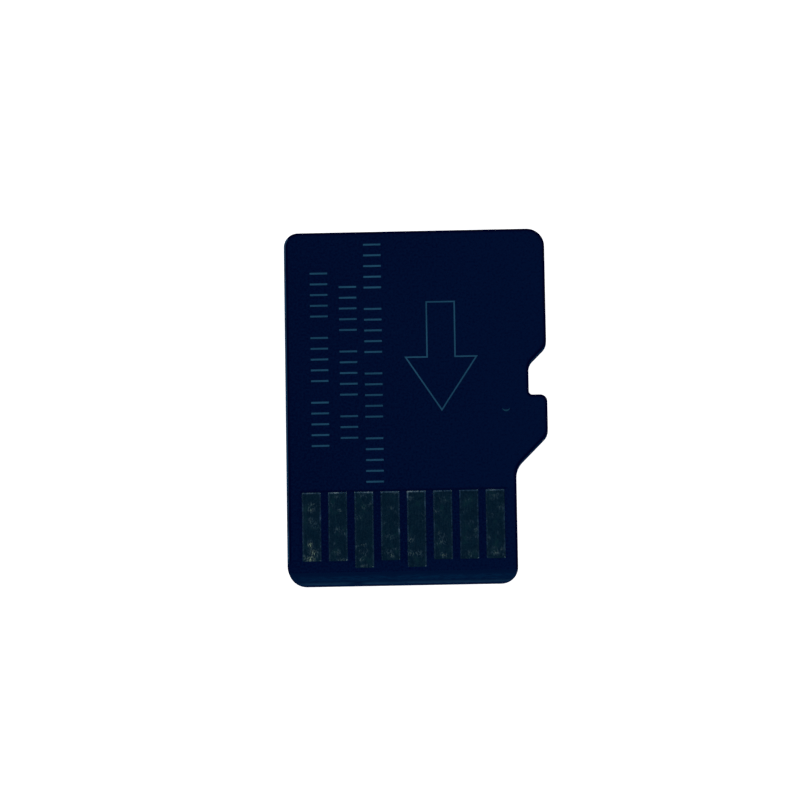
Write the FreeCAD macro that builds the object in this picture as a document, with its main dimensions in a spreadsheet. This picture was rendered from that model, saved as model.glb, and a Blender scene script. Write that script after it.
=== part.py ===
import FreeCAD, Part
import math
import os
import Sketcher

# Memory card of 15 x 11 mm, lying on its label side with the contacts up.
# X runs across the card to the notched side, Y from the contact end (front) to the grip end (rear), Z up.
# The origin is under the middle of the card, on the plane that the grip ridge rests on.
# From the top down the card is a solder mask, a laminate substrate and a moulding that holds the chips.

# Driving dimensions in millimetres and degrees: name, value, meaning.
SIZES = [
    ("card_length", 15.0, "front edge to rear edge"),
    ("card_width", 11.0, "left side to right side"),
    ("card_thickness", 0.7, "label face to contact face"),
    ("shoulder_depth", 1.36, "how much narrower the contact end is than the card"),
    ("shoulder_end", 6.2, "front edge to where the shoulder's slope meets the full width"),
    ("notch_start", 7.9, "front edge to the square side of the notch"),
    ("notch_flat", 1.32, "length of the notch's floor"),
    ("notch_depth", 0.77, "side of the card to the notch's floor"),
    ("slope_angle", 45.0, "slope of the shoulder and of the notch's ramp"),
    ("front_left_radius", 0.8, "corner of the contact end on the plain side"),
    ("front_right_radius", 0.7, "corner of the contact end on the notched side"),
    ("shoulder_root_radius", 0.9, "inner corner below the shoulder"),
    ("shoulder_tip_radius", 0.63, "outer corner above the shoulder"),
    ("notch_lip_radius", 0.3, "outer corner of the notch's square side"),
    ("notch_root_radius", 0.15, "inner corner of the notch's square side"),
    ("ramp_root_radius", 0.54, "inner corner of the notch's ramp"),
    ("ramp_tip_radius", 0.6, "outer corner of the notch's ramp"),
    ("rear_right_radius", 0.75, "rear corner on the notched side"),
    ("rear_left_radius", 0.6, "rear corner on the plain side"),
    ("bevel_length", 0.52, "ground bevel along the front edge, across the contact face"),
    ("bevel_depth", 0.3, "ground bevel along the front edge, down the front face"),
    ("grip_height", 0.3, "grip ridge above the label face"),
    ("grip_length", 1.5, "rear edge to the ridge's wall, at mid width"),
    ("grip_radius", 30.0, "curve of the ridge's wall"),
    ("grip_edge_radius", 0.1, "rounded lip of the ridge"),
    ("label_edge_radius", 0.06, "rounded edge of the label face"),
    ("substrate_thickness", 0.18, "laminate"),
    ("mask_thickness", 0.04, "solder mask on the contact face"),
    ("contact_count", 8, "contacts in the row"),
    ("contact_pitch", 1.1, "contact to contact"),
    ("contact_width", 0.8, "across a contact"),
    ("contact_length", 2.92, "along a signal contact"),
    ("contact_row_shift", 0.06, "middle of the contact end to the middle of the row, to the notched side"),
    ("contact_setback", 1.0, "front edge to a signal contact"),
    ("supply_extra_length", 0.3, "how much further forward a supply contact reaches"),
    ("contact_corner", 0.05, "rounded corners of a contact"),
    ("contact_recess", 0.015, "contact below the face of the mask"),
    ("die_thickness", 0.06, "ground memory die"),
    ("die_side_margin", 0.72, "memory dies to the plain side, and to the notch's floor"),
    ("die_rear_margin", 0.25, "last memory die to the rear edge"),
    ("die_gap", 1.7, "controller die to the first memory die"),
    ("die_step_length", 0.35, "each memory die set back from the one it lies on"),
    ("film_thickness", 0.01, "adhesive film behind each die"),
    ("controller_width", 3.2, "controller die across the card"),
    ("controller_length", 1.9, "controller die along the card"),
    ("controller_thickness", 0.1, "controller die"),
    ("controller_setback", 1.7, "front edge to the controller die"),
    ("capacitor_length", 0.6, "chip capacitor along the card"),
    ("capacitor_width", 0.3, "chip capacitor across the card"),
    ("capacitor_band", 0.15, "plated end of a capacitor"),
    ("capacitor_plating", 0.01, "plated end proud of the ceramic"),
    ("capacitor_gap", 0.55, "controller to the first capacitor, and on to the next"),
    ("wire_diameter", 0.025, "bond wire across its flats"),
    ("wire_rise", 0.06, "bond wire's loop above the pad it starts from"),
    ("wire_drop", 0.03, "bond wire's last straight drop"),
    ("pad_inset", 0.1, "die's edge to its bond pads"),
    ("finger_gap", 0.3, "die's edge to the bond fingers on the substrate"),
    ("memory_wire_pitch", 0.6, "bond pad to bond pad on a memory die"),
    ("controller_wire_pitch", 0.36, "bond pad to bond pad on the controller die"),
]
MEMORY_DIE_COUNT = 4
MEMORY_WIRE_COUNT = 12
CONTROLLER_WIRE_COUNT = 8
CAPACITOR_COUNT_PER_SIDE = 2
SUPPLY_CONTACT_NUMBERS = (4, 6)
WIRE_FLAT_COUNT = 6

# Heights that several pieces share, as expressions on the sheet.
CARD_TOP = "(Sizes.grip_height + Sizes.card_thickness)"
SUBSTRATE_TOP = f"({CARD_TOP} - Sizes.mask_thickness)"
SUBSTRATE_BOTTOM = f"({SUBSTRATE_TOP} - Sizes.substrate_thickness)"
FRONT = "(-Sizes.card_length / 2)"
LEFT = "(-Sizes.card_width / 2)"
FRONT_WIDTH = "(Sizes.card_width - Sizes.shoulder_depth)"
CONTACT_ROW_CENTRE = f"({LEFT} + {FRONT_WIDTH} / 2 + Sizes.contact_row_shift)"
SIGNAL_CONTACT_FRONT = f"({FRONT} + Sizes.contact_setback)"

# Lines of the card's outline, anticlockwise from the front left corner.
FRONT_EDGE, NARROW_SIDE, SHOULDER, TAB, LIP, NOTCH_FLOOR, RAMP, FLANK, REAR_EDGE, PLAIN_SIDE = range(10)

# Rounded corners of the outline: radius, and the line that starts at the corner.
ROUNDED_CORNERS = [
    ("front_left_radius", FRONT_EDGE),
    ("front_right_radius", NARROW_SIDE),
    ("shoulder_root_radius", SHOULDER),
    ("shoulder_tip_radius", TAB),
    ("notch_lip_radius", LIP),
    ("notch_root_radius", NOTCH_FLOOR),
    ("ramp_root_radius", RAMP),
    ("ramp_tip_radius", FLANK),
    ("rear_right_radius", REAR_EDGE),
    ("rear_left_radius", PLAIN_SIDE),
]

SKETCH_ORIGIN = (-1, 1)
CLOSE = 1e-5
Vector = FreeCAD.Vector

doc = FreeCAD.newDocument("memory_card")
sheet = doc.addObject("Spreadsheet::Sheet", "Sizes")


def fill_sheet():
    for row, (alias, value, meaning) in enumerate(SIZES, start=1):
        sheet.set(f"A{row}", meaning)
        sheet.set(f"B{row}", str(value))
        sheet.setAlias(f"B{row}", alias)
    doc.recompute()


def measure(expression):
    return float(sheet.evalExpression(expression))


# Sketches and features

def new_body(label):
    body = doc.addObject("PartDesign::Body", label)
    body.Label = label
    return body


def new_sketch(body, name, plane, height=None):
    sketch = body.newObject("Sketcher::SketchObject", name)
    origin_plane = next(f for f in body.Origin.OriginFeatures if f.Role == plane)
    sketch.AttachmentSupport = (origin_plane, [""])
    sketch.MapMode = "FlatFace"
    if height:
        sketch.setExpression("AttachmentOffset.Base.z", height)
    return sketch


def add_loop(sketch, points):
    count = len(points)
    for i in range(count):
        sketch.addGeometry(Part.LineSegment(points[i], points[(i + 1) % count]))
    for i in range(count):
        sketch.addConstraint(Sketcher.Constraint("Coincident", i, 2, (i + 1) % count, 1))


def add_dimension(sketch, kind, where, expression):
    index = sketch.addConstraint(Sketcher.Constraint(kind, *where, measure(expression)))
    sketch.setExpression(f"Constraints[{index}]", expression)


def add_angle(sketch, line, alias):
    angle = math.radians(measure(f"Sizes.{alias}"))
    index = sketch.addConstraint(Sketcher.Constraint("Angle", line, angle))
    sketch.setExpression(f"Constraints[{index}]", f"Sizes.{alias} * 1 deg")


def add_rectangle(sketch, left, front, width, length):
    x, y = measure(left), measure(front)
    w, d = measure(width), measure(length)
    add_loop(sketch, [Vector(x, y), Vector(x + w, y), Vector(x + w, y + d), Vector(x, y + d)])
    for line in (0, 2):
        sketch.addConstraint(Sketcher.Constraint("Horizontal", line))
    for line in (1, 3):
        sketch.addConstraint(Sketcher.Constraint("Vertical", line))
    add_dimension(sketch, "DistanceX", (0, 1, *SKETCH_ORIGIN), f"-({left})")
    add_dimension(sketch, "DistanceY", (0, 1, *SKETCH_ORIGIN), f"-({front})")
    add_dimension(sketch, "DistanceX", (0, 1, 0, 2), width)
    add_dimension(sketch, "DistanceY", (1, 1, 1, 2), length)


def extrude(body, kind, sketch, length):
    feature = body.newObject(f"PartDesign::{kind}", f"{body.Name}_{kind}")
    feature.Profile = sketch
    feature.setExpression("Length", length)
    doc.recompute()
    return feature


def round_edges(body, edges, radius):
    base = body.Tip
    fillet = body.newObject("PartDesign::Fillet", f"{body.Name}_Fillet")
    fillet.Base = (base, edges)
    fillet.setExpression("Radius", f"Sizes.{radius}")
    doc.recompute()


def upright_edges(shape, corners):
    names = []
    for i, edge in enumerate(shape.Edges, start=1):
        ends = [v.Point for v in edge.Vertexes]
        for corner in corners:
            if len(ends) == 2 and all(math.hypot(p.x - corner.x, p.y - corner.y) < CLOSE for p in ends):
                names.append(f"Edge{i}")
    return names


# The card's outline, shared by the moulding, the substrate and the solder mask

def outline_corners():
    left, front = measure(LEFT), measure(FRONT)
    right, rear = -left, -front
    narrow = left + measure(FRONT_WIDTH)
    slope = math.tan(math.radians(measure("Sizes.slope_angle")))
    shoulder_end = front + measure("Sizes.shoulder_end")
    notch_start = front + measure("Sizes.notch_start")
    notch_end = notch_start + measure("Sizes.notch_flat")
    floor = right - measure("Sizes.notch_depth")
    return [
        Vector(left, front),
        Vector(narrow, front),
        Vector(narrow, shoulder_end - (right - narrow) * slope),
        Vector(right, shoulder_end),
        Vector(right, notch_start),
        Vector(floor, notch_start),
        Vector(floor, notch_end),
        Vector(right, notch_end + (right - floor) * slope),
        Vector(right, rear),
        Vector(left, rear),
    ]


def outline_sketch(body, bottom):
    sketch = new_sketch(body, f"{body.Name}_outline", "XY_Plane", bottom)
    add_loop(sketch, outline_corners())
    for line in (FRONT_EDGE, LIP, REAR_EDGE):
        sketch.addConstraint(Sketcher.Constraint("Horizontal", line))
    for line in (NARROW_SIDE, TAB, NOTCH_FLOOR, FLANK, PLAIN_SIDE):
        sketch.addConstraint(Sketcher.Constraint("Vertical", line))
    corner = (FRONT_EDGE, 1)
    add_dimension(sketch, "DistanceX", (*corner, *SKETCH_ORIGIN), "Sizes.card_width / 2")
    add_dimension(sketch, "DistanceY", (*corner, *SKETCH_ORIGIN), "Sizes.card_length / 2")
    add_dimension(sketch, "DistanceX", (FRONT_EDGE, 1, FRONT_EDGE, 2), FRONT_WIDTH)
    add_dimension(sketch, "DistanceX", (*corner, TAB, 1), "Sizes.card_width")
    add_dimension(sketch, "DistanceX", (*corner, FLANK, 1), "Sizes.card_width")
    add_dimension(sketch, "DistanceY", (*corner, TAB, 1), "Sizes.shoulder_end")
    add_dimension(sketch, "DistanceY", (*corner, LIP, 1), "Sizes.notch_start")
    add_dimension(sketch, "DistanceX", (LIP, 2, LIP, 1), "Sizes.notch_depth")
    add_dimension(sketch, "DistanceY", (NOTCH_FLOOR, 1, NOTCH_FLOOR, 2), "Sizes.notch_flat")
    add_dimension(sketch, "DistanceY", (*corner, REAR_EDGE, 1), "Sizes.card_length")
    for line in (SHOULDER, RAMP):
        add_angle(sketch, line, "slope_angle")
    doc.recompute()
    return sketch


def grind_bevel(body):
    sketch = new_sketch(body, f"{body.Name}_bevel", "YZ_Plane")
    front, top = measure(FRONT), measure(CARD_TOP)
    length, depth = measure("Sizes.bevel_length"), measure("Sizes.bevel_depth")
    add_loop(sketch, [Vector(front, top), Vector(front, top - depth), Vector(front + length, top)])
    sketch.addConstraint(Sketcher.Constraint("Vertical", 0))
    sketch.addConstraint(Sketcher.Constraint("Horizontal", 2))
    add_dimension(sketch, "DistanceX", (0, 1, *SKETCH_ORIGIN), f"-{FRONT}")
    add_dimension(sketch, "DistanceY", (*SKETCH_ORIGIN, 0, 1), CARD_TOP)
    add_dimension(sketch, "DistanceY", (0, 2, 0, 1), "Sizes.bevel_depth")
    add_dimension(sketch, "DistanceX", (2, 2, 2, 1), "Sizes.bevel_length")
    pocket = extrude(body, "Pocket", sketch, "2 * Sizes.card_width")
    pocket.SideType = "Symmetric"
    doc.recompute()


def card_layer(label, bottom, thickness):
    body = new_body(label)
    sketch = outline_sketch(body, bottom)
    extrude(body, "Pad", sketch, thickness)
    for radius, line in ROUNDED_CORNERS:
        corner = sketch.Geometry[line].StartPoint
        round_edges(body, upright_edges(body.Tip.Shape, [corner]), radius)
    grind_bevel(body)
    return body


# The layers of the card

def moulding_blank():
    body = card_layer("moulding_blank", "0", SUBSTRATE_BOTTOM)
    carve_label_face(body)
    round_label_edges(body)
    return body


def carve_label_face(body):
    # A large circle cuts the label face down from the ridge and leaves the ridge's wall curved.
    sketch = new_sketch(body, "grip_curve", "XY_Plane")
    drop = "Sizes.grip_radius + Sizes.grip_length - Sizes.card_length / 2"
    radius = measure("Sizes.grip_radius")
    sketch.addGeometry(Part.Circle(Vector(0, -measure(drop), 0), Vector(0, 0, 1), radius))
    sketch.addConstraint(Sketcher.Constraint("PointOnObject", 0, 3, -2))
    add_dimension(sketch, "Radius", (0,), "Sizes.grip_radius")
    add_dimension(sketch, "DistanceY", (0, 3, *SKETCH_ORIGIN), drop)
    pocket = extrude(body, "Pocket", sketch, "Sizes.grip_height")
    pocket.Reversed = True
    doc.recompute()


def edges_at_height(shape, height, keep):
    names = []
    for i, edge in enumerate(shape.Edges, start=1):
        box = edge.BoundBox
        if abs(box.ZMin - height) < CLOSE and abs(box.ZMax - height) < CLOSE and keep(edge):
            names.append(f"Edge{i}")
    return names


def round_label_edges(body):
    grip_radius = measure("Sizes.grip_radius")
    grip_height = measure("Sizes.grip_height")

    def is_rim(edge):
        return not (hasattr(edge.Curve, "Radius") and abs(edge.Curve.Radius - grip_radius) < CLOSE)

    round_edges(body, edges_at_height(body.Tip.Shape, grip_height, is_rim), "label_edge_radius")
    round_edges(body, edges_at_height(body.Tip.Shape, 0.0, lambda edge: True), "grip_edge_radius")


def substrate():
    return card_layer("substrate", SUBSTRATE_BOTTOM, "Sizes.substrate_thickness")


def solder_mask():
    body = card_layer("solder_mask", SUBSTRATE_TOP, "Sizes.mask_thickness")
    for number in contact_numbers():
        sketch = new_sketch(body, f"window_{number}", "XY_Plane", CARD_TOP)
        add_rectangle(sketch, *contact_rectangle(number))
        extrude(body, "Pocket", sketch, "Sizes.mask_thickness")
        round_contact_corners(body, sketch)
    return body


# Contacts

def contact_numbers():
    return range(1, int(measure("Sizes.contact_count")) + 1)


def contact_rectangle(number):
    # Number 1 lies on the notched side.
    steps = f"((Sizes.contact_count - 1) / 2 - {number - 1})"
    left = f"{CONTACT_ROW_CENTRE} + {steps} * Sizes.contact_pitch - Sizes.contact_width / 2"
    if number in SUPPLY_CONTACT_NUMBERS:
        front = f"{SIGNAL_CONTACT_FRONT} - Sizes.supply_extra_length"
        return left, front, "Sizes.contact_width", "Sizes.contact_length + Sizes.supply_extra_length"
    return left, SIGNAL_CONTACT_FRONT, "Sizes.contact_width", "Sizes.contact_length"


def round_contact_corners(body, sketch):
    corners = [line.StartPoint for line in sketch.Geometry]
    round_edges(body, upright_edges(body.Tip.Shape, corners), "contact_corner")


def contact(number):
    body = new_body(f"contact_{number}")
    sketch = new_sketch(body, f"contact_{number}_outline", "XY_Plane", SUBSTRATE_TOP)
    add_rectangle(sketch, *contact_rectangle(number))
    extrude(body, "Pad", sketch, "Sizes.mask_thickness - Sizes.contact_recess")
    round_contact_corners(body, sketch)
    return body


# Chips under the substrate; their depth is counted down from it

CONTROLLER_LEFT = f"({CONTACT_ROW_CENTRE} - Sizes.controller_width / 2)"
CONTROLLER_FRONT = f"({FRONT} + Sizes.controller_setback)"
FIRST_DIE_FRONT = f"({CONTROLLER_FRONT} + Sizes.controller_length + Sizes.die_gap)"
STACK_REAR = "(Sizes.card_length / 2 - Sizes.die_rear_margin)"
STACK_STEPS = f"({MEMORY_DIE_COUNT - 1} * Sizes.die_step_length)"
DIE_LEFT = f"({LEFT} + Sizes.die_side_margin)"
DIE_WIDTH = "(Sizes.card_width - Sizes.notch_depth - 2 * Sizes.die_side_margin)"
DIE_LENGTH = f"({STACK_REAR} - {STACK_STEPS} - {FIRST_DIE_FRONT})"

def plate(label, left, front, depth, width, length, thickness):
    box = doc.addObject("Part::Box", label)
    box.Label = label
    box.setExpression("Length", width)
    box.setExpression("Width", length)
    box.setExpression("Height", thickness)
    box.setExpression("Placement.Base.x", left)
    box.setExpression("Placement.Base.y", front)
    box.setExpression("Placement.Base.z", f"{SUBSTRATE_BOTTOM} - ({depth}) - ({thickness})")
    return box


def die_depth(level):
    return f"{level} * (Sizes.film_thickness + Sizes.die_thickness)"


def die_front(level):
    return f"{FIRST_DIE_FRONT} + {level} * Sizes.die_step_length"


def memory_stack():
    size = (DIE_WIDTH, DIE_LENGTH)
    pieces = []
    for level in range(MEMORY_DIE_COUNT):
        place = (DIE_LEFT, die_front(level))
        film = die_depth(level)
        die = f"{film} + Sizes.film_thickness"
        pieces.append(plate(f"memory_film_{level + 1}", *place, film, *size, "Sizes.film_thickness"))
        pieces.append(plate(f"memory_die_{level + 1}", *place, die, *size, "Sizes.die_thickness"))
    return pieces


def controller():
    place = (CONTROLLER_LEFT, CONTROLLER_FRONT)
    size = ("Sizes.controller_width", "Sizes.controller_length")
    return [
        plate("controller_film", *place, "0", *size, "Sizes.film_thickness"),
        plate("controller_die", *place, "Sizes.film_thickness", *size, "Sizes.controller_thickness"),
    ]


def capacitors():
    pieces = []
    for side in (-1, 1):
        for place in range(1, CAPACITOR_COUNT_PER_SIDE + 1):
            reach = f"(Sizes.controller_width / 2 + {place} * Sizes.capacitor_gap)"
            centre = f"{CONTACT_ROW_CENTRE} + {side} * {reach}"
            pieces.append(capacitor(len(pieces) + 1, centre))
    return pieces


def capacitor(number, centre):
    label = f"capacitor_{number}"
    front = f"{CONTROLLER_FRONT} + Sizes.controller_length / 2 - Sizes.capacitor_length / 2"
    rear_band = f"{front} + Sizes.capacitor_length - Sizes.capacitor_band"
    plating = "Sizes.capacitor_plating"
    inner = f"(Sizes.capacitor_width - 2 * {plating})"
    outer = "Sizes.capacitor_width"
    length = "Sizes.capacitor_length"
    band = "Sizes.capacitor_band"
    pieces = [plate(f"{label}_ceramic", f"{centre} - {inner} / 2", front, plating, inner, length, inner)]
    for name, place in (("front_band", front), ("rear_band", rear_band)):
        pieces.append(plate(f"{label}_{name}", f"{centre} - {outer} / 2", place, "0", outer, band, outer))
    fused = doc.addObject("Part::MultiFuse", label)
    fused.Label = label
    fused.Shapes = pieces
    return fused


# Bond wires, drawn with six flats, each from a die's pad over a loop to a pad or finger nearer the substrate

def bond_wire(x, start_y, start_depth, end_y, end_depth):
    base = measure(SUBSTRATE_BOTTOM)
    rise, drop = measure("Sizes.wire_rise"), measure("Sizes.wire_drop")
    radius = measure("Sizes.wire_diameter") / 2 / math.cos(math.pi / WIRE_FLAT_COUNT)
    start = Vector(x, start_y, base - start_depth)
    end = Vector(x, end_y, base - end_depth)
    path = Part.makePolygon([start, start - Vector(0, 0, rise), end - Vector(0, 0, drop), end])
    turns = [2 * math.pi * i / WIRE_FLAT_COUNT for i in range(WIRE_FLAT_COUNT + 1)]
    section = Part.makePolygon([start + Vector(math.cos(t), math.sin(t), 0) * radius for t in turns])
    mitred_corners = 1
    return path.makePipeShell([section], True, False, mitred_corners)


def wire_row(centre, count, pitch):
    return [centre + (i - (count - 1) / 2) * pitch for i in range(count)]


def wire_group(label, wires):
    group = doc.addObject("Part::Feature", label)
    group.Label = label
    group.Shape = Part.makeCompound(wires)
    return group


def memory_wires():
    inset, step = measure("Sizes.pad_inset"), measure("Sizes.die_step_length")
    centre = measure(f"{DIE_LEFT} + {DIE_WIDTH} / 2")
    pitch = measure("Sizes.memory_wire_pitch")
    wires = []
    for level in range(MEMORY_DIE_COUNT):
        front = measure(die_front(level))
        start = (front + inset, measure(die_depth(level + 1)))
        if level == 0:
            end = (front - measure("Sizes.finger_gap"), 0.0)
        else:
            end = (front - (step - inset) / 2, measure(die_depth(level)))
        wires += [bond_wire(x, *start, *end) for x in wire_row(centre, MEMORY_WIRE_COUNT, pitch)]
    return wire_group("memory_wires", wires)


def controller_wires():
    inset, gap = measure("Sizes.pad_inset"), measure("Sizes.finger_gap")
    front = measure(CONTROLLER_FRONT)
    rear = front + measure("Sizes.controller_length")
    depth = measure("Sizes.film_thickness + Sizes.controller_thickness")
    row = wire_row(measure(CONTACT_ROW_CENTRE), CONTROLLER_WIRE_COUNT, measure("Sizes.controller_wire_pitch"))
    wires = []
    for x in row:
        wires.append(bond_wire(x, front + inset, depth, front - gap, 0.0))
        wires.append(bond_wire(x, rear - inset, depth, rear + gap, 0.0))
    return wire_group("controller_wires", wires)


def moulded_body(blank, buried):
    # The compound is moulded round everything that stands on the substrate.
    core = doc.addObject("Part::MultiFuse", "buried_pieces")
    core.Shapes = buried
    moulded = doc.addObject("Part::Cut", "moulded_body")
    moulded.Label = "moulded_body"
    moulded.Base = blank
    moulded.Tool = core
    return moulded


def check_document(pieces):
    failed = [o.Label for o in doc.Objects if {"Invalid", "Error"} & set(o.State)]
    if failed:
        raise RuntimeError(f"these objects failed to build: {failed}")
    for piece in pieces:
        if piece.Shape.isNull() or not piece.Shape.isValid() or not piece.Shape.Solids:
            raise RuntimeError(f"{piece.Label} has no valid solid")


def main():
    fill_sheet()
    blank = moulding_blank()
    layers = [substrate(), solder_mask()]
    contacts = [contact(number) for number in contact_numbers()]
    buried = memory_stack() + controller() + capacitors() + [memory_wires(), controller_wires()]
    pieces = [moulded_body(blank, buried)] + layers + contacts + buried
    doc.recompute()
    check_document(pieces)
    os.makedirs("parts", exist_ok=True)
    for piece in pieces:
        piece.Shape.exportStep(f"parts/{piece.Label}.step")
        print(f"{piece.Label}: {len(piece.Shape.Solids)} solids, {piece.Shape.Volume:.5f} mm3")


main()
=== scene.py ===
import math
import random

import bmesh
import bpy
from mathutils import Matrix, Vector


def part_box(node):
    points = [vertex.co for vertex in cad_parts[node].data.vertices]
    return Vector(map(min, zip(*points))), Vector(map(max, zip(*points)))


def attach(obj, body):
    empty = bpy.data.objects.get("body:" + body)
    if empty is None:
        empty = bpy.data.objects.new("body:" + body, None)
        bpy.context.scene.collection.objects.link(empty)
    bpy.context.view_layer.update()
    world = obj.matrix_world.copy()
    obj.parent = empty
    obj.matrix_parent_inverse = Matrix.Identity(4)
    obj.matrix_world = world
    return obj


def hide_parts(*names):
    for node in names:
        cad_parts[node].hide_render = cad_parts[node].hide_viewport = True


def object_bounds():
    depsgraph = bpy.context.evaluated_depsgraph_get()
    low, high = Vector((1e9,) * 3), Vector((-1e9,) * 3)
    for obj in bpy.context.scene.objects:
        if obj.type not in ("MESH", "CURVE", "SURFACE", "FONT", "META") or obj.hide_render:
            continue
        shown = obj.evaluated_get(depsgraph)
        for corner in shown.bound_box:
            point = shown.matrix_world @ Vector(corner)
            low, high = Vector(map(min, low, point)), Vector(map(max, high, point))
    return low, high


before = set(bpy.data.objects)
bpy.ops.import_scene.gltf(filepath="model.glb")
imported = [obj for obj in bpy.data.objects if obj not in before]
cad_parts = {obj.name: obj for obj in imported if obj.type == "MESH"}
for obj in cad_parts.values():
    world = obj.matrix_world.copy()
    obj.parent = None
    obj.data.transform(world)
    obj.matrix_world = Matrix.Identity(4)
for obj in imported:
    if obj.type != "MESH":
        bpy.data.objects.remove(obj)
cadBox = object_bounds()
mm = 0.001
close = 1e-7  # points nearer than this are the same
print("frame loaded:", len(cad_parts), "nodes")


class Value:  # a socket that Python maths can work on
    def __init__(self, finish, socket):
        self.finish = finish
        self.socket = socket

    def calc(self, operation, *terms):
        return self.finish.add("ShaderNodeMath", {"operation": operation}, dict(enumerate(terms)))

    def __add__(self, other):
        return self.calc("ADD", self, other)

    def __radd__(self, other):
        return self.calc("ADD", other, self)

    def __sub__(self, other):
        return self.calc("SUBTRACT", self, other)

    def __rsub__(self, other):
        return self.calc("SUBTRACT", other, self)

    def __mul__(self, other):
        return self.calc("MULTIPLY", self, other)

    def __truediv__(self, other):
        return self.calc("DIVIDE", self, other)

    def __abs__(self):
        return self.calc("ABSOLUTE", self)


class Finish:  # one procedural material, or the world
    def __init__(self, owner):
        owner.use_nodes = True
        self.owner = owner
        self.tree = owner.node_tree
        self.tree.nodes.clear()

    def add(self, kind, settings=(), sockets=(), output=0):
        node = self.tree.nodes.new(kind)
        for key, value in dict(settings).items():
            if key == "stops":
                setStops(node.color_ramp, value)
            else:
                setattr(node, key, value)
        for key, value in dict(sockets).items():
            if isinstance(value, Value):
                self.tree.links.new(value.socket, node.inputs[key])
            else:
                node.inputs[key].default_value = value
        return Value(self, node.outputs[output]) if node.outputs else node

    def place(self):
        return self.add("ShaderNodeTexCoord", output="Object")

    def attribute(self, name):
        return self.add("ShaderNodeAttribute", {"attribute_name": name}, output="Fac")

    def split(self, vector):
        node = self.add("ShaderNodeSeparateXYZ", sockets={0: vector}).socket.node
        return [Value(self, socket) for socket in node.outputs]

    def stretch(self, vector, steps, turn=(0, 0, 0)):  # steps per millimetre
        sockets = {"Vector": vector, "Rotation": turn, "Scale": [step / mm for step in steps]}
        return self.add("ShaderNodeMapping", sockets=sockets)

    def noise(self, vector, detail=2.0, roughness=0.5, distortion=0.0):
        return self.add("ShaderNodeTexNoise", sockets={
            "Vector": vector,
            "Scale": 1.0,
            "Detail": detail,
            "Roughness": roughness,
            "Distortion": distortion,
        })

    def cells(self, vector, feature="F1"):
        return self.add("ShaderNodeTexVoronoi", {"feature": feature}, {"Vector": vector, "Scale": 1.0})

    def between(self, value, low, high):  # 0 at low, 1 at high, smooth between
        sockets = {"Value": value, "From Min": low, "From Max": high, "To Min": 0.0, "To Max": 1.0}
        return self.add("ShaderNodeMapRange", {"interpolation_type": "SMOOTHSTEP"}, sockets)

    def within(self, value, full, gone):  # 1 up to full, 0 from gone on
        return self.between(value, gone, full)

    def band(self, value, start, full, last, gone):  # rises from start to full, falls from last to gone
        return self.between(value, start, full) * self.within(value, last, gone)

    def blendColours(self, factor, first, second):
        return self.add("ShaderNodeMix", {"data_type": "RGBA"}, {0: factor, 6: first, 7: second}, 2)

    def relief(self, height, depth, strength):  # depth in millimetres
        sockets = {"Height": height, "Distance": depth * mm, "Strength": strength}
        return self.add("ShaderNodeBump", sockets=sockets)

    def surface(self, sockets):
        shader = self.add("ShaderNodeBsdfPrincipled", sockets=sockets)
        self.add("ShaderNodeOutputMaterial", sockets={"Surface": shader})
        return self.owner


def setStops(ramp, stops):
    while len(ramp.elements) < len(stops):
        ramp.elements.new(1.0)
    for element, (position, colour) in zip(ramp.elements, stops):
        element.position = position
        element.color = colour


def newFinish(name):
    return Finish(bpy.data.materials.new(name))


def rgb(red, green, blue):
    return (red, green, blue, 1.0)


# finishes, with their lengths and places in millimetres

maskLook = {
    "dark": rgb(0.0004, 0.0034, 0.0295),
    "light": rgb(0.0008, 0.0084, 0.0440),
    "edge": rgb(0.0002, 0.0005, 0.0187),
    "pale": rgb(0.0096, 0.0336, 0.084),
    # painted light along the left edge
    "worn": rgb(0.020, 0.066, 0.135),
    "roughness": 0.19,
    "gloss": 0.12,
    "tone": 0.72,  # 0 is dark, 1 is light, and how much each thing changes it
    "cloudTone": 0.5,
    "grainTone": 4.6,
    "sideLight": 0.4,  # painted light: lighter towards the notched side
    "rowShade": 0.4,  # painted shade: darker between the contacts
    "rearLine": 0.45,  # darkness of the painted shade line behind the contacts
    "scuffTone": 0.2,
    "borderEnd": 0.08,  # how far behind the contacts the border of the rear part ends
    "borderFade": 0.4,
    "litLine": (0.07, 0.08),  # painted light beside the contacts, from the left edge: full up to, gone at
    "darkLine": (0.126, 0.186),  # the same, inside the painted light line
    "rightLine": (0.075, 0.115),  # the same, from the right edge
}


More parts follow.
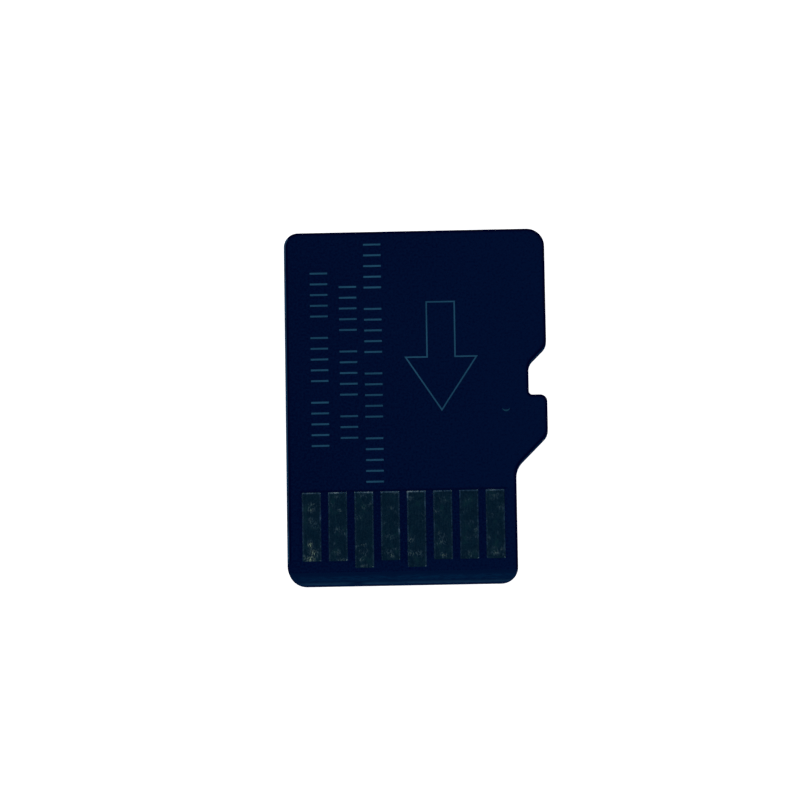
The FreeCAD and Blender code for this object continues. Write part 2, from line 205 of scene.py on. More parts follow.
def solderMaskNavy():
    f = newFinish("solderMaskNavy")
    at = f.place()
    x, y = [place / mm for place in f.split(at)[:2]]
    cloud = f.noise(f.stretch(at, (0.3, 0.3, 0.3)), 3.0)
    grain = f.noise(f.stretch(at, (12, 12, 12)), 2.0, 0.6)
    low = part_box("contact_8")[0] / mm
    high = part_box("contact_1")[1] / mm
    across = f.band(x, low.x - 0.2, low.x, high.x, high.x + 0.2)
    # painted shade between the contacts
    shadedRow = across * f.band(y, low.y - 0.1, low.y + 0.1, high.y - 0.1, high.y + 0.1)
    # painted shade behind the contacts' raised rear ends
    behind = across * f.band(y, high.y - 0.02, high.y, high.y + 0.05, high.y + 0.12)
    borderEnd = high.y + maskLook["borderEnd"]
    beside = f.within(y, borderEnd, borderEnd + maskLook["borderFade"])
    strip = beside * f.between(y, low.y - 0.2, low.y + 0.2)
    outline = [v.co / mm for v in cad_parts["solder_mask"].data.vertices]
    leftGap = x - min(point.x for point in outline)
    rightGap = max(point.x for point in outline if point.y < high.y) - x
    leftLine = strip * f.within(leftGap, *maskLook["darkLine"])
    rightLine = beside * f.within(rightGap, *maskLook["rightLine"])
    edge = f.attribute("edge") + leftLine + rightLine + behind * maskLook["rearLine"]
    # painted light along the left edge
    worn = f.attribute("worn") + strip * f.within(leftGap, *maskLook["litLine"])
    side = x * mm / (cadBox[1][0] - cadBox[0][0])
    tone = maskLook["tone"] + (cloud - 0.5) * maskLook["cloudTone"] + (grain - 0.5) * maskLook["grainTone"]
    # painted light across the card, lighter towards the notched side
    # painted shade between the contacts
    tone = tone + side * maskLook["sideLight"] - shadedRow * maskLook["rowShade"]
    hair = f.noise(f.stretch(at, (0.5, 26, 26), (0, 0, 0.6)), 1.0)
    scuff = f.between(hair, 0.70, 0.78) * f.between(cloud, 0.5, 0.65)
    litPatches = f.noise(f.stretch(at, (0.4, 0.4, 0.4)), 2.0, 0.7)
    peel = f.noise(f.stretch(at, (7, 7, 7)), 2.0)
    colour = f.blendColours(tone, maskLook["dark"], maskLook["light"])
    colour = f.blendColours(scuff * maskLook["scuffTone"], colour, maskLook["pale"])
    colour = f.blendColours(edge * 1.2, colour, maskLook["edge"])  # darker along the outline, and the painted shade behind the contacts
    # painted light along the left edge, in patches
    colour = f.blendColours(worn * f.between(litPatches, 0.28, 0.52), colour, maskLook["worn"])
    return f.surface({
        "Base Color": colour,
        "Roughness": maskLook["roughness"] + grain * 0.04 + scuff * 0.06,
        "Specular IOR Level": maskLook["gloss"],
        "Normal": f.relief(peel + grain * 0.3, 0.0012, 0.6),
    })


goldLook = {
    "clean": rgb(1.0, 0.78, 0.37),
    "dull": rgb(0.34, 0.42, 0.23),
    "olive": rgb(0.95, 0.96, 0.33),
    # painted glints on the worn gold
    "glintFleck": rgb(0.84, 1.0, 0.56),
    "glintSpot": rgb(0.86, 1.0, 0.55),
    # painted highlights along the pad edges
    "rim": rgb(0.68, 0.98, 0.72),
    "strongHighlight": rgb(0.82, 1.0, 0.84),
    # fine painted glints spread everywhere at this share of wear
    "evenWear": 0.02,
    # less metal where glints and highlights are painted, so that their painted colour shows
    "shineLost": 0.21,
    "roughness": 0.07,
}


def contactGold():
    f = newFinish("contactGold")
    at = f.place()
    wear = f.attribute("wear")
    rim = f.attribute("rim")
    blotch = f.noise(f.stretch(at, (2.4, 1.6, 1)), 4.0, 0.65)
    mottle = f.noise(f.stretch(at, (14, 8, 8), (0, 0, -0.4)), 2.0, 0.6, 1.8)
    grain = f.noise(f.stretch(at, (13, 13, 13)), 2.0, 0.6)
    wipe = f.noise(f.stretch(at, (20, 1.3, 1)), 2.0)  # marks of the socket's springs, along the contact
    glintFleck = f.noise(f.stretch(at, (20, 8, 8), (0, 0, 0.6)), 2.0, 0.5, 1.2)
    tone = f.between(blotch * 0.25 + mottle * 0.55 + wipe * 0.2, 0.40, 0.62)
    # painted glints on the worn spots, and fine ones everywhere
    spots = (wear + goldLook["evenWear"]) * f.between(glintFleck, 0.50, 0.60)
    # painted highlight lines along the pad edges and on the drop
    lines = rim * f.between(mottle, 0.30, 0.62) * (0.4 + f.between(blotch, 0.36, 0.60) * 0.8)
    colour = f.blendColours(tone, goldLook["dull"], goldLook["clean"])
    colour = f.blendColours(f.between(blotch + wear * 0.15, 0.52, 0.68) * 0.7, colour, goldLook["olive"])
    colour = f.blendColours(f.between(spots, 0.0, 0.15), colour, goldLook["glintFleck"])
    colour = f.blendColours(f.between(spots, 0.2, 0.8), colour, goldLook["glintSpot"])
    colour = f.blendColours(f.between(lines, 0.0, 0.15), colour, goldLook["rim"])
    colour = f.blendColours(f.between(lines, 0.2, 0.8), colour, goldLook["strongHighlight"])
    return f.surface({
        "Base Color": colour,
        "Metallic": 1.0 - (spots + lines) * goldLook["shineLost"],
        "Roughness": goldLook["roughness"] + grain * 0.03 + f.between(mottle, 0.58, 0.72) * 0.03,
        "Normal": f.relief(mottle * 0.5 + grain * 0.2 + wipe * 0.3, 0.002, 0.35),
    })


etchLook = {
    "dark": rgb(0.0106, 0.0566, 0.110),
    "light": rgb(0.0259, 0.110, 0.193),
    "roughness": 0.62,
    "gloss": 0.04,
}


def etchedTeal():
    f = newFinish("etchedTeal")
    at = f.place()
    grain = f.noise(f.stretch(at, (30, 30, 30)), 2.0, 0.7)
    drift = f.noise(f.stretch(at, (0.5, 0.5, 0.5)), 2.0)
    tone = f.between(grain * 0.6 + drift * 0.4, 0.30, 0.70)
    return f.surface({
        "Base Color": f.blendColours(tone, etchLook["dark"], etchLook["light"]),
        "Roughness": etchLook["roughness"] + grain * 0.2,
        "Specular IOR Level": etchLook["gloss"],
        "Normal": f.relief(grain, 0.002, 0.6),
    })


laminateLook = {
    "core": rgb(0.0008, 0.0086, 0.0390),
    "streak": rgb(0.0014, 0.0212, 0.0650),
    "foil": rgb(0.0066, 0.0300, 0.0740),
    "roughness": 0.55,
    "waviness": 0.03,
    "ground": (-6.95, -7.0),  # the ground front end, where the layers are cut aslant
    "groundDrop": 0.045,  # how far grinding smears the lower foil
    "upperFoil": (0.88, 0.91, 0.94, 0.965),  # heights: start, full, last, gone
    "lowerFoil": (0.763, 0.778, 0.80, 0.845),
    "middle": (0.77, 0.83, 0.87, 0.96),
    "dimCorner": (-5.3, -4.5),  # across the card
}


def laminateEdge():
    f = newFinish("laminateEdge")
    at = f.place()
    x, y, z = [place / mm for place in f.split(at)]
    streak = f.noise(f.stretch(at, (2.2, 16, 24), (0, 0, 0.05)), 3.0, 0.7, 1.2)
    weave = f.noise(f.stretch(at, (6, 6, 40)), 2.0)
    patch = f.noise(f.stretch(at, (0.7, 0.7, 0.7)), 2.0)
    ground = f.between(y, *laminateLook["ground"])
    level = z + (weave - 0.5) * laminateLook["waviness"]
    smeared = level + ground * laminateLook["groundDrop"]
    upper = f.band(level, *laminateLook["upperFoil"]) * (1 - ground)
    lower = f.band(smeared, *laminateLook["lowerFoil"])
    layers = upper * f.between(streak, 0.42, 0.66) + lower * f.between(streak, 0.20, 0.50)
    middle = f.band(level, *laminateLook["middle"])
    corner = f.between(x, *laminateLook["dimCorner"]) * 0.6 + 0.4
    shine = f.between(streak, 0.36, 0.66) * (1 - ground + ground * middle * corner)
    colour = f.blendColours(shine, laminateLook["core"], laminateLook["streak"])
    colour = f.blendColours(layers * f.between(patch, 0.25, 0.5) * corner, colour, laminateLook["foil"])
    return f.surface({
        "Base Color": colour,
        "Roughness": laminateLook["roughness"] + weave * 0.25,
        "Specular IOR Level": 0.0,
        "Normal": f.relief(streak + weave * 0.5, 0.004, 0.6),
    })


mouldLook = {
    "dark": rgb(0.0006, 0.0048, 0.0277),
    "light": rgb(0.0019, 0.0095, 0.0409),
    "filler": rgb(0.021, 0.036, 0.068),
    "roughness": 0.48,
    "labelGloss": 0.2,
    "sideGloss": 0.0,
}


def mouldCompound(name, gloss, sawnDepth):
    f = newFinish(name)
    at = f.place()
    cloud = f.noise(f.stretch(at, (0.4, 0.4, 0.4)), 3.0)
    grain = f.noise(f.stretch(at, (22, 22, 22)), 3.0, 0.65)
    speck = f.cells(f.stretch(at, (18, 18, 18)))  # grains of filler in the compound
    sawn = f.noise(f.stretch(at, (26, 26, 1.2)), 2.0, 0.6)  # upright marks left by the cutting of the sides
    tone = f.between(cloud * 0.5 + grain * 0.5, 0.3, 0.7)
    colour = f.blendColours(tone, mouldLook["dark"], mouldLook["light"])
    colour = f.blendColours(f.within(speck, 0.08, 0.16) * 0.35, colour, mouldLook["filler"])
    return f.surface({
        "Base Color": colour,
        "Roughness": mouldLook["roughness"] + grain * 0.22,
        "Specular IOR Level": gloss,
        "Normal": f.relief(grain + sawn * sawnDepth, 0.004, 0.55),
    })


insideLook = {  # the pieces that the moulding hides
    "siliconLine": rgb(0.16, 0.15, 0.17),
    "siliconFace": rgb(0.075, 0.078, 0.10),
    "filmDark": rgb(0.50, 0.40, 0.22),
    "filmLight": rgb(0.66, 0.55, 0.34),
    "ceramicDark": rgb(0.26, 0.16, 0.09),
    "ceramicLight": rgb(0.40, 0.27, 0.16),
    "tin": rgb(0.72, 0.72, 0.70),
    "tinFrom": (0.246, 0.254),  # share of a capacitor's length, counted from its middle
    "wireDark": rgb(0.90, 0.62, 0.22),
    "wireLight": rgb(1.0, 0.78, 0.36),
}


def siliconGround():
    f = newFinish("siliconGround")
    at = f.place()
    lines = f.noise(f.stretch(at, (1.0, 30, 1), (0, 0, 0.7)), 2.0)
    blocks = f.cells(f.stretch(at, (0.45, 0.6, 0.01)), "DISTANCE_TO_EDGE")
    face = f.between(blocks, 0.0, 0.05)
    return f.surface({
        "Base Color": f.blendColours(face, insideLook["siliconLine"], insideLook["siliconFace"]),
        "Metallic": 0.35,
        "Roughness": 0.25 + lines * 0.2,
        "Normal": f.relief(lines, 0.001, 0.4),
    })


def dieAdhesive():
    f = newFinish("dieAdhesive")
    cloud = f.noise(f.stretch(f.place(), (3, 3, 3)), 3.0)
    colour = f.blendColours(cloud, insideLook["filmDark"], insideLook["filmLight"])
    return f.surface({"Base Color": colour, "Roughness": 0.4 + cloud * 0.2})


def capacitorCeramic():
    f = newFinish("capacitorCeramic")
    at = f.place()
    low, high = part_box("capacitor_1")
    reach = abs(f.split(at)[1] - (low.y + high.y) / 2) / (high.y - low.y)
    tinned = f.between(reach, *insideLook["tinFrom"])
    grain = f.noise(f.stretch(at, (30, 30, 30)), 2.0)
    ceramic = f.blendColours(grain, insideLook["ceramicDark"], insideLook["ceramicLight"])
    return f.surface({
        "Base Color": f.blendColours(tinned, ceramic, insideLook["tin"]),
        "Metallic": tinned,
        "Roughness": 0.35 + grain * 0.2,
    })


def bondGold():
    f = newFinish("bondGold")
    grain = f.noise(f.stretch(f.place(), (60, 60, 60)), 2.0)
    colour = f.blendColours(grain, insideLook["wireDark"], insideLook["wireLight"])
    return f.surface({"Base Color": colour, "Metallic": 1.0, "Roughness": 0.2 + grain * 0.15})


scuffLook = {
    "dark": rgb(0.0034, 0.0336, 0.070),
    "light": rgb(0.0096, 0.070, 0.120),
    "gloss": 0.1,
}


def scuffPale():
    f = newFinish("scuffPale")
    grain = f.noise(f.stretch(f.place(), (40, 40, 40)), 2.0)
    return f.surface({
        "Base Color": f.blendColours(grain, scuffLook["dark"], scuffLook["light"]),
        "Roughness": 0.6 + grain * 0.2,
        "Specular IOR Level": scuffLook["gloss"],
    })


finishes = {
    "mask": solderMaskNavy(),
    "gold": contactGold(),
    "etch": etchedTeal(),
    "laminate": laminateEdge(),
    "mould": mouldCompound("mouldCompound", mouldLook["labelGloss"], 0.0),
    "mouldSide": mouldCompound("mouldSide", mouldLook["sideGloss"], 1.0),
    "silicon": siliconGround(),
    "film": dieAdhesive(),
    "capacitor": capacitorCeramic(),
    "wire": bondGold(),
    "scuff": scuffPale(),
}
print("finishes made:", len(finishes))


# mesh helpers

def mergedCopy(node):  # a CAD node's faces, joined up
    bm = bmesh.new()
    bm.from_mesh(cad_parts[node].data)
    bmesh.ops.remove_doubles(bm, verts=bm.verts, dist=close)
    return bm


def cleanCopy(node):  # the same with its flat faces whole
    bm = mergedCopy(node)
    bmesh.ops.dissolve_limit(bm, angle_limit=math.radians(0.5), verts=bm.verts, edges=bm.edges)
    return bm


def topParts(bm):  # all that lies flat on top, for cutting
    top = [f for f in bm.faces if f.normal.z > 0.9]
    return list({v for f in top for v in f.verts}) + list({e for f in top for e in f.edges}) + top


def sharpEdges(bm, degrees):
    return [e for e in bm.edges if len(e.link_faces) == 2 and e.calc_face_angle(0) > math.radians(degrees)]


def soften(bm, edges, width):  # width in millimetres
    bmesh.ops.bevel(bm, geom=edges, offset=width * mm, offset_type="OFFSET", affect="EDGES", segments=2,
                    profile=0.5, material=-1, clamp_overlap=True)


def addPiece(bm, name, materials, replaced=(), smoothAngle=40):
    mesh = bpy.data.meshes.new(name)
    bm.to_mesh(mesh)
    bm.free()
    for material in materials:
        mesh.materials.append(material)
    mesh.polygons.foreach_set("use_smooth", [True] * len(mesh.polygons))
    mesh.set_sharp_from_angle(angle=math.radians(smoothAngle))
    piece = bpy.data.objects.new(name, mesh)
    bpy.context.scene.collection.objects.link(piece)
    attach(piece, "root")
    if replaced:
        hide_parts(*replaced)
    even = piece.modifiers.new("evenNormals", "WEIGHTED_NORMAL")  # flat faces stay flat beside rounded edges
    even.keep_sharp = True


# moulding and laminate

def addMoulding():
    bm = mergedCopy("moulded_body")
    for face in bm.faces:
        if face.normal.z < -0.99:
            face.material_index = 0  # moulded label side
        elif face.normal.z > 0.3 and face.normal.y < -0.3:
            face.material_index = 2  # ground front end
        else:
            face.material_index = 1  # cut sides
    materials = [finishes["mould"], finishes["mouldSide"], finishes["laminate"]]
    addPiece(bm, "mouldedShell", materials, ["moulded_body"])


def addLaminate():
    addPiece(cleanCopy("substrate"), "laminateBoard", [finishes["laminate"]], ["substrate"])


# solder mask

maskShape = {
    "rimRadius": 0.005,
    "border": [  # rings from the outline inwards: width, darkness, darkness and painted light on the left
        (0.07, 1.0, 1.0, 1.0),
        (0.006, 0.8, 1.0, 1.0),
        (0.05, 0.75, 1.0, 0.0),
        (0.06, 0.1, 1.0, 0.0),
    ],
}


def addMask():
    bm = cleanCopy("solder_mask")
    edge = bm.verts.layers.float.new("edge")
    worn = bm.verts.layers.float.new("worn")
    low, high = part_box("solder_mask")
    rims = [e for e in sharpEdges(bm, 20) if all(abs(v.co.z - high.z) < close for v in e.verts)]
    soften(bm, rims, maskShape["rimRadius"])
    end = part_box("contact_8")[1].y + maskLook["borderEnd"] * mm
    full = end + maskLook["borderFade"] * mm
    for place in (end, full):
        bmesh.ops.bisect_plane(bm, geom=topParts(bm), plane_co=(0, place, 0), plane_no=(0, 1, 0))
    border = [f for f in bm.faces if f.normal.z > 0.99 and min(v.co.y for v in f.verts) > end - close]
    rings = maskShape["border"]
    step = {}
    for i, ring in enumerate(rings):
        made = bmesh.ops.inset_region(bm, faces=border, thickness=ring[0] * mm, use_even_offset=True,
                                      use_boundary=True)
        inside = {v for face in border for v in face.verts}
        for vert in {v for face in made["faces"] for v in face.verts}:
            step[vert] = i + 1 if vert in inside else step.get(vert, i)
    reach = sum(ring[0] for ring in rings) * mm
    for vert, i in step.items():
        if i < len(rings) and vert.co.y > full - close:
            dark, leftDark, leftLight = rings[i][1:]
            onLeft = vert.co.x < low.x + reach
            vert[edge] = leftDark if onLeft else dark
            # painted light on the left edge
            vert[worn] = leftLight if onLeft else 0
    for face in bm.faces:
        if face.normal.z < 0.95:
            face.material_index = 1  # cut through the lacquer
    materials = [finishes["mask"], finishes["laminate"]]
    addPiece(bm, "maskSkin", materials, ["solder_mask"], smoothAngle=15)


# contacts

contactShape = {
    "edgeRadius": 0.005,
    "lipWidth": 0.08,  # raised lip along the rear end
    "lipHeight": 0.002,
    "lipSlope": 0.012,
    "dropRadius": 0.03,  # drop of plating at the front corner on the notched side
    "dropHeight": 0.0016,
    "dropPlace": (0.04, 0.03),  # from the side and from the front
    # painted highlight on the drop
    "dropHighlight": 0.55,
    "cell": 0.04,  # spacing of the points that carry the wear
    "topDepth": 0.001,  # points this near the top carry it
    "sideHighlight": 0.16,  # painted highlight lines along the sides: strength, place from the side, width
    "sideInset": 0.025,
    "sideWidth": 0.025,
    "rearHighlight": 0.34,  # the same along the rear end
    "rearInset": 0.03,
    "rearWidth": 0.026,
    "brightEnd": 0.04,  # how far a bright stretch fades out
    "smallSpots": 7,
    "spread": 1.5,  # flecks lie this much wider than their spot
}

# the plainest spots of wear, painted with bright glints: contact, place across, place from the front,
# radius in millimetres, stretch across, strength
wornSpots = [
    (8, 0.42, 0.24, 0.08, 0.7, 1.8), (8, 0.45, 0.04, 0.06, 1.6, 1.6), (8, 0.60, 0.13, 0.09, 1.0, 1.0),
    (8, 0.45, 0.75, 0.06, 1.5, 0.7), (8, 0.55, 0.82, 0.06, 1.5, 0.4), (8, 0.10, 0.06, 0.06, 0.8, 0.5),
    (7, 0.60, 0.73, 0.05, 0.8, 0.4), (7, 0.55, 0.46, 0.06, 1.6, 0.25), (7, 0.65, 0.02, 0.05, 2.5, 0.4),
    (7, 0.48, 0.13, 0.07, 0.8, 0.3), (6, 0.50, 0.80, 0.05, 1.3, 0.45), (6, 0.45, 0.30, 0.05, 1.5, 0.5),
    (6, 0.33, 0.11, 0.05, 1.0, 0.4), (6, 0.50, 0.02, 0.04, 4.0, 0.3), (5, 0.57, 0.07, 0.06, 0.8, 0.5),
    (5, 0.57, 0.76, 0.05, 1.2, 0.3), (5, 0.48, 0.34, 0.09, 1.2, 0.2), (4, 0.20, 0.35, 0.07, 1.0, 0.4),
    (4, 0.25, 0.18, 0.05, 2.4, 0.35), (4, 0.60, 0.17, 0.09, 1.0, 0.2), (3, 0.50, 0.06, 0.06, 1.4, 0.5),
    (3, 0.45, 0.26, 0.12, 1.0, 0.2), (3, 0.57, 0.86, 0.07, 1.2, 0.2), (2, 0.50, 0.08, 0.06, 1.2, 0.3),
    (2, 0.85, 0.42, 0.06, 0.8, 0.3), (1, 0.50, 0.09, 0.06, 1.5, 0.4), (1, 0.78, 0.13, 0.08, 1.0, 0.25),
    (1, 0.80, 0.74, 0.08, 1.0, 0.25), (1, 0.50, 0.90, 0.08, 1.8, 0.25),
]

# painted bright stretches of the highlight lines: contact, place across, place from the front,
# half length in millimetres, strength
highlightStretches = [
    (8, 0.30, 1.0, 0.10, 0.8), (8, 1.0, 0.63, 0.05, 0.7), (7, 0.36, 1.0, 0.10, 1.8),
    (6, 0.55, 1.0, 0.28, 0.9), (5, 0.14, 1.0, 0.10, 0.9), (5, 1.0, 0.43, 0.06, 0.9),
    (5, 0.55, 1.0, 0.20, 0.3), (4, 0.30, 1.0, 0.26, 2.0), (4, 1.0, 0.83, 0.05, 0.5),
    (3, 0.40, 1.0, 0.25, 0.2), (2, 0.0, 0.93, 0.05, 0.5), (1, 0.40, 1.0, 0.10, 0.7),
    (1, 0.82, 1.0, 0.08, 0.6),
]


def hill(gap, width):  # a soft bump, width in millimetres
    return math.exp(-(gap / (width * mm)) ** 2)


def spotsOf(number):
    spots = [spot[1:] for spot in wornSpots if spot[0] == number]
    for i in range(contactShape["smallSpots"]):
        across = random.uniform(0.1, 0.9)
        along = random.random()
        radius = random.uniform(0.03, 0.07)
        stretch = random.uniform(0.6, 1.8)
        strength = random.uniform(0.08, 0.22)
        spots.append((across, along, radius, stretch, strength))
    return spots


def gapTo(point, low, high, across, along):  # from a place given as shares of the contact
    return point.x - low.x - (high.x - low.x) * across, point.y - low.y - (high.y - low.y) * along


def wearAt(point, low, high, spots):
    wear = 0
    for across, along, radius, stretch, strength in spots:
        dx, dy = gapTo(point, low, high, across, along)
        reach = radius * contactShape["spread"]
        wear += strength * hill(dx, reach * stretch) * hill(dy, reach)
    return wear


# painted highlight lines along the sides and the rear end, with brighter stretches
def highlightAt(number, point, low, high):
    inset = contactShape["sideInset"] * mm
    width = contactShape["sideWidth"]
    side = max(hill(point.x - low.x - inset, width), hill(high.x - inset - point.x, width))
    rear = hill(high.y - contactShape["rearInset"] * mm - point.y, contactShape["rearWidth"])
    rim = contactShape["sideHighlight"] * side + contactShape["rearHighlight"] * rear
    for contact, across, along, reach, strength in highlightStretches:
        if contact == number:
            gap = math.hypot(*gapTo(point, low, high, across, along))
            rim += strength * max(side, rear) * hill(gap, reach + contactShape["brightEnd"])
    return rim


def gridTop(bm, low, high):  # cuts the top so that it can carry the wear
    for axis in (0, 1):
        steps = round((high[axis] - low[axis]) / (contactShape["cell"] * mm))
        for i in range(1, steps):
            at = [0, 0, 0]
            normal = [0, 0, 0]
            at[axis] = low[axis] + (high[axis] - low[axis]) * i / steps
            normal[axis] = 1
            bmesh.ops.bisect_plane(bm, geom=topParts(bm), plane_co=at, plane_no=normal)


def raiseLip(bm, high):
    rearLine = high.y - contactShape["lipWidth"] * mm
    everything = bm.verts[:] + bm.edges[:] + bm.faces[:]
    bmesh.ops.bisect_plane(bm, geom=everything, plane_co=(0, rearLine, 0), plane_no=(0, 1, 0))
    rear = [f for f in bm.faces if f.normal.z > 0.9 and f.calc_center_median().y > rearLine]
    bmesh.ops.inset_region(bm, faces=rear, thickness=contactShape["lipSlope"] * mm, use_even_offset=True)
    lip = {v for f in rear for v in f.verts}
    bmesh.ops.translate(bm, verts=list(lip), vec=(0, 0, contactShape["lipHeight"] * mm))


def addDrop(bm, rim, low, high):
    radius = contactShape["dropRadius"]
    drop = bmesh.ops.create_icosphere(bm, subdivisions=2, radius=radius * mm)["verts"]
    flat = Matrix.Diagonal((1, 1, contactShape["dropHeight"] / radius, 1))
    fromSide, fromFront = contactShape["dropPlace"]
    corner = Matrix.Translation((high.x - fromSide * mm, low.y + fromFront * mm, high.z))
    bmesh.ops.transform(bm, verts=drop, matrix=corner @ flat)
    for vert in drop:
        vert[rim] = contactShape["dropHighlight"]


def addContact(number):
    node = f"contact_{number}"
    low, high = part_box(node)
    bm = cleanCopy(node)
    raiseLip(bm, high)
    topEdges = [e for e in sharpEdges(bm, 60) if min(v.co.z for v in e.verts) > high.z - close]
    soften(bm, topEdges, contactShape["edgeRadius"])
    gridTop(bm, low, high)
    wear = bm.verts.layers.float.new("wear")
    rim = bm.verts.layers.float.new("rim")
    spots = spotsOf(number)
    for vert in bm.verts:
        if vert.co.z > high.z - contactShape["topDepth"] * mm:
            vert[wear] = wearAt(vert.co, low, high, spots)
            vert[rim] = highlightAt(number, vert.co, low, high)
    addDrop(bm, rim, low, high)
    addPiece(bm, f"contactPad{number}", [finishes["gold"]], [node])


# etched marks on the mask: plain rows of ticks and an insertion arrow

etchShape = {
    "height": 0.003,
    "proud": 0.8,  # share of the height that stands above the mask
    "line": 0.078,
    "columns": [  # centre across the card, rear end, front end, in millimetres
        (-1.78, 6.95, -3.25),
        (-2.83, 5.15, -1.35),
        (-4.05, 5.75, -1.95),
    ],
    "tickLength": 0.74,
    "tickStep": 0.46,
    "ticksInGroup": 5,
    "arrowLine": 0.062,
    "arrowCentre": (1.07, 2.12),
    "arrowSize": (3.1, 4.7),
    "arrowShaft": 0.4,  # shares of the arrow's width and length
    "arrowHead": 0.5,
}
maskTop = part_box("solder_mask")[1].z


def addTick(bm, across, along):
    height = etchShape["height"] * mm
    made = bmesh.ops.create_cube(bm, size=1.0)
    shape = Matrix.Diagonal((etchShape["tickLength"] * mm, etchShape["line"] * mm, height, 1))
    spot = Matrix.Translation((across * mm, along * mm, maskTop + height * (etchShape["proud"] - 0.5)))
    bmesh.ops.transform(bm, verts=made["verts"], matrix=spot @ shape)


def addTicks():
    bm = bmesh.new()
    group = etchShape["ticksInGroup"]
    for across, rear, front in etchShape["columns"]:
        count = int((rear - front) / etchShape["tickStep"]) + 1
        for i in range(count):
            if i % (group + 1) < group:  # a gap closes each group
                addTick(bm, across, rear - i * etchShape["tickStep"])
    addPiece(bm, "etchedTicks", [finishes["etch"]])


def addArrow():
    bm = bmesh.new()
    width, length = etchShape["arrowSize"]
    cx, cy = etchShape["arrowCentre"]
    shaft = width * etchShape["arrowShaft"] / 2
    rear = length / 2
    neck = rear - length * etchShape["arrowHead"]
    right = [(shaft, rear), (shaft, neck), (width / 2, neck), (0, -rear)]
    left = [(-x, y) for x, y in reversed(right[:-1])]
    z = maskTop + etchShape["height"] * mm * etchShape["proud"]
    corners = [bm.verts.new(((cx + x) * mm, (cy + y) * mm, z)) for x, y in right + left]
    face = bm.faces.new(corners)
    face.normal_update()
    if face.normal.z < 0:
        face.normal_flip()
    bmesh.ops.inset_region(bm, faces=[face], thickness=etchShape["arrowLine"] * mm, use_even_offset=True,
                           use_boundary=True)
    bmesh.ops.delete(bm, geom=[face], context="FACES_ONLY")
    bmesh.ops.solidify(bm, geom=bm.faces[:], thickness=etchShape["height"] * mm)
    bmesh.ops.recalc_face_normals(bm, faces=bm.faces)
    addPiece(bm, "etchedArrow", [finishes["etch"]])


# a small crescent scuff near the notch

nickShape = {
    "centre": (3.765, -0.07),
    "radius": 0.15,
    "width": 0.07,
    "start": -150,  # degrees
    "sweep": 120,
    "steps": 12,
    "tip": 0.04,  # share of the sweep that keeps the width of the tip
    "height": 0.0008,  # above the mask
    "thickness": 0.002,
}


def addNick():
    bm = bmesh.new()
    cx, cy = nickShape["centre"]
    centre = Vector((cx * mm, cy * mm, maskTop + nickShape["height"] * mm))
    inner = bm.verts.new(centre + Vector((nickShape["radius"] * mm, 0, 0)))
    outer = bm.verts.new(centre + Vector(((nickShape["radius"] + nickShape["width"]) * mm, 0, 0)))
    edge = bm.edges.new((inner, outer))
    start = Matrix.Rotation(math.radians(nickShape["start"]), 3, "Z")
    bmesh.ops.rotate(bm, verts=bm.verts, cent=centre, matrix=start)
    bmesh.ops.spin(bm, geom=[inner, outer, edge], cent=centre, axis=(0, 0, 1),
                   angle=math.radians(nickShape["sweep"]), steps=nickShape["steps"])
    middle = (nickShape["radius"] + nickShape["width"] / 2) * mm
    for vert in bm.verts:  # thin ends
        arm = vert.co - centre
        share = (math.degrees(math.atan2(arm.y, arm.x)) - nickShape["start"]) / nickShape["sweep"]
        thin = math.sin(math.pi * min(max(share, nickShape["tip"]), 1 - nickShape["tip"]))
        vert.co += arm.normalized() * (middle - arm.length) * (1 - thin)
    bmesh.ops.solidify(bm, geom=bm.faces[:], thickness=nickShape["thickness"] * mm)
    bmesh.ops.recalc_face_normals(bm, faces=bm.faces)
    addPiece(bm, "edgeScuff", [finishes["scuff"]])


# what the moulding hides keeps its CAD shape and gets its finish

insideFinishes = {  # by the start of the node's name
    "memory_die": "silicon",
    "controller_die": "silicon",
    "memory_film": "film",
    "controller_film": "film",
    "capacitor": "capacitor",
    "memory_wires": "wire",
    "controller_wires": "wire",
}


def dressInside():
    for node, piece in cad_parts.items():
        for start, finish in insideFinishes.items():
            if node.startswith(start):
                for materialSlot in piece.material_slots:
                    materialSlot.material = finishes[finish]


random.seed(7)
addMoulding()
addLaminate()
addMask()
contactCount = len([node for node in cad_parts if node.startswith("contact_")])
for contactNumber in range(1, contactCount + 1):
    addContact(contactNumber)
addTicks()
addArrow()
addNick()
dressInside()


# floor, lights and camera

zenith = rgb(0.0019, 0.0153, 0.068)  # overhead, where the contacts mirror it

stageLook = {
    "ridgeLip": 5.58,  # the card lies on its ridge's lip and its front edge
    "frontEdge": -7.45,
    "frontHeight": 0.3,
    "floorSize": 6.0,
    "floorDark": rgb(0.97, 0.93, 0.90),
    "floorLight": rgb(0.98, 0.94, 0.91),
    "floorGlow": 0.9,  # glows by itself, so that it shows almost no shade
    "lightDistance": 0.6,
    "lightSize": 0.62,
    "lights": [  # turn round the card, height angle, power
        (-52, 35, 0.80),
        (55, 36, 0.73),
        (145, 36, 0.73),
        (-140, 36, 0.77),
    ],
    "lightColour": (0.86, 0.95, 1.0),
    "sky": [  # from the horizon up
        (0.0, rgb(0.95, 0.95, 0.95)),
        (0.30, rgb(0.80, 0.81, 0.82)),
        (0.62, rgb(0.05, 0.06, 0.09)),
        (0.85, zenith),
        (1.0, zenith),
    ],
}


def floorPale():
    f = newFinish("floorPale")
    drift = f.noise(f.stretch(f.place(), (0.004, 0.004, 0.004)), 2.0)
    return f.surface({
        "Base Color": f.blendColours(drift, stageLook["floorDark"], stageLook["floorLight"]),
        "Roughness": 0.9,
        "Specular IOR Level": 0.0,
        "Emission Color": rgb(1, 1, 1),
        "Emission Strength": stageLook["floorGlow"],
    })


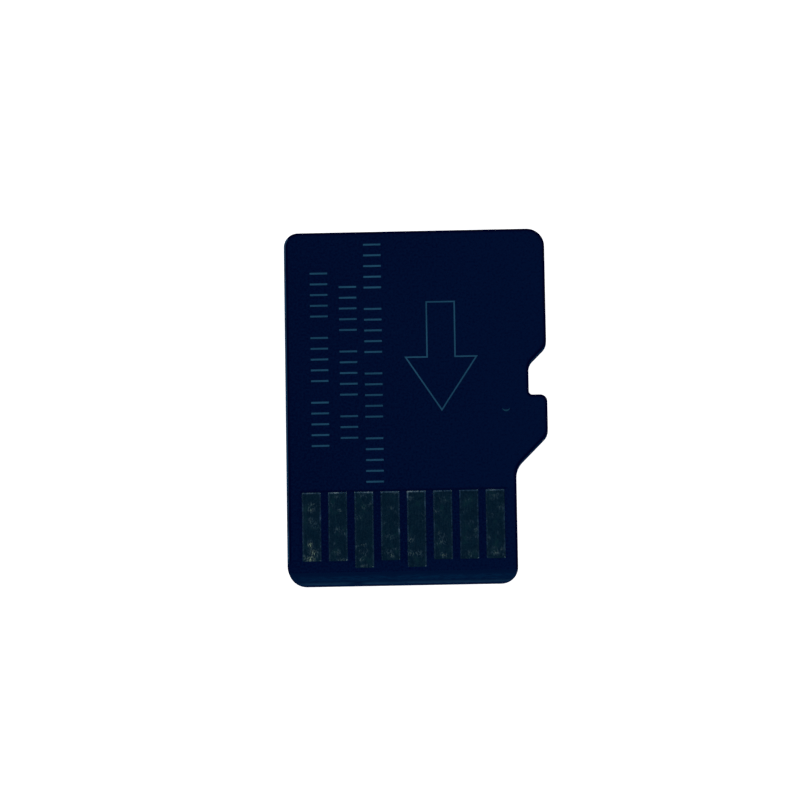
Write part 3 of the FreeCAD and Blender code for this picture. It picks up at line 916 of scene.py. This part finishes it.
def addFloor():
    bm = bmesh.new()
    bmesh.ops.create_grid(bm, x_segments=1, y_segments=1, size=stageLook["floorSize"] / 2)
    lean = math.atan2(stageLook["frontHeight"], stageLook["ridgeLip"] - stageLook["frontEdge"])
    pivot = Matrix.Translation((0, stageLook["ridgeLip"] * mm, 0))
    bmesh.ops.transform(bm, verts=bm.verts, matrix=pivot @ Matrix.Rotation(-lean, 4, "X"))
    mesh = bpy.data.meshes.new("floor")
    bm.to_mesh(mesh)
    bm.free()
    mesh.materials.append(floorPale())
    floor = bpy.data.objects.new("floor", mesh)
    bpy.context.scene.collection.objects.link(floor)


def addLights():
    for i, (turn, rise, power) in enumerate(stageLook["lights"]):
        data = bpy.data.lights.new(f"softbox{i + 1}", "AREA")
        data.energy = power
        data.color = stageLook["lightColour"]
        data.size = stageLook["lightSize"]
        light = bpy.data.objects.new(f"softbox{i + 1}", data)
        swing = Matrix.Rotation(math.radians(turn), 4, "Z") @ Matrix.Rotation(math.radians(90 - rise), 4, "X")
        light.matrix_world = swing @ Matrix.Translation((0, 0, stageLook["lightDistance"]))
        bpy.context.scene.collection.objects.link(light)


def addWorld():
    world = bpy.data.worlds.new("studioAir")
    bpy.context.scene.world = world
    f = Finish(world)
    height = f.split(f.add("ShaderNodeTexCoord", output="Generated"))[2]
    sky = f.add("ShaderNodeValToRGB", {"stops": stageLook["sky"]}, {0: height})
    shader = f.add("ShaderNodeBackground", sockets={"Color": sky, "Strength": 1.0})
    f.add("ShaderNodeOutputWorld", sockets={"Surface": shader})


cameraLook = {
    "distance": 208.0,  # millimetres
    "pixelsPerMm": 23.81,
    "picture": 800,
    "lean": -9.33,  # degrees
    "turn": -1.6,
    "roll": 0.89,
    "offset": (16.44, 6.15),  # pixels to the right and down
    "height": 1.0,  # of the face that it looks at
    "sensor": 36.0,
}


def addCamera():
    scale = cameraLook["pixelsPerMm"]
    data = bpy.data.cameras.new("camera")
    data.sensor_width = cameraLook["sensor"]
    data.lens = scale * cameraLook["distance"] / cameraLook["picture"] * cameraLook["sensor"]
    data.clip_start = 0.01
    data.clip_end = 20.0
    view = Matrix.Rotation(math.radians(cameraLook["lean"]), 4, "X")
    view = view @ Matrix.Rotation(math.radians(cameraLook["turn"]), 4, "Y")
    view = view @ Matrix.Rotation(math.radians(cameraLook["roll"]), 4, "Z")
    right, down = cameraLook["offset"]
    stand = Matrix.Translation((-right / scale * mm, down / scale * mm, cameraLook["distance"] * mm))
    camera = bpy.data.objects.new("camera", data)
    camera.matrix_world = Matrix.Translation((0, 0, cameraLook["height"] * mm)) @ view.inverted() @ stand
    bpy.context.scene.collection.objects.link(camera)
    bpy.context.scene.camera = camera


addFloor()
addLights()
addWorld()
addCamera()
bpy.context.scene.view_settings.view_transform = "Standard"
print("stage set")
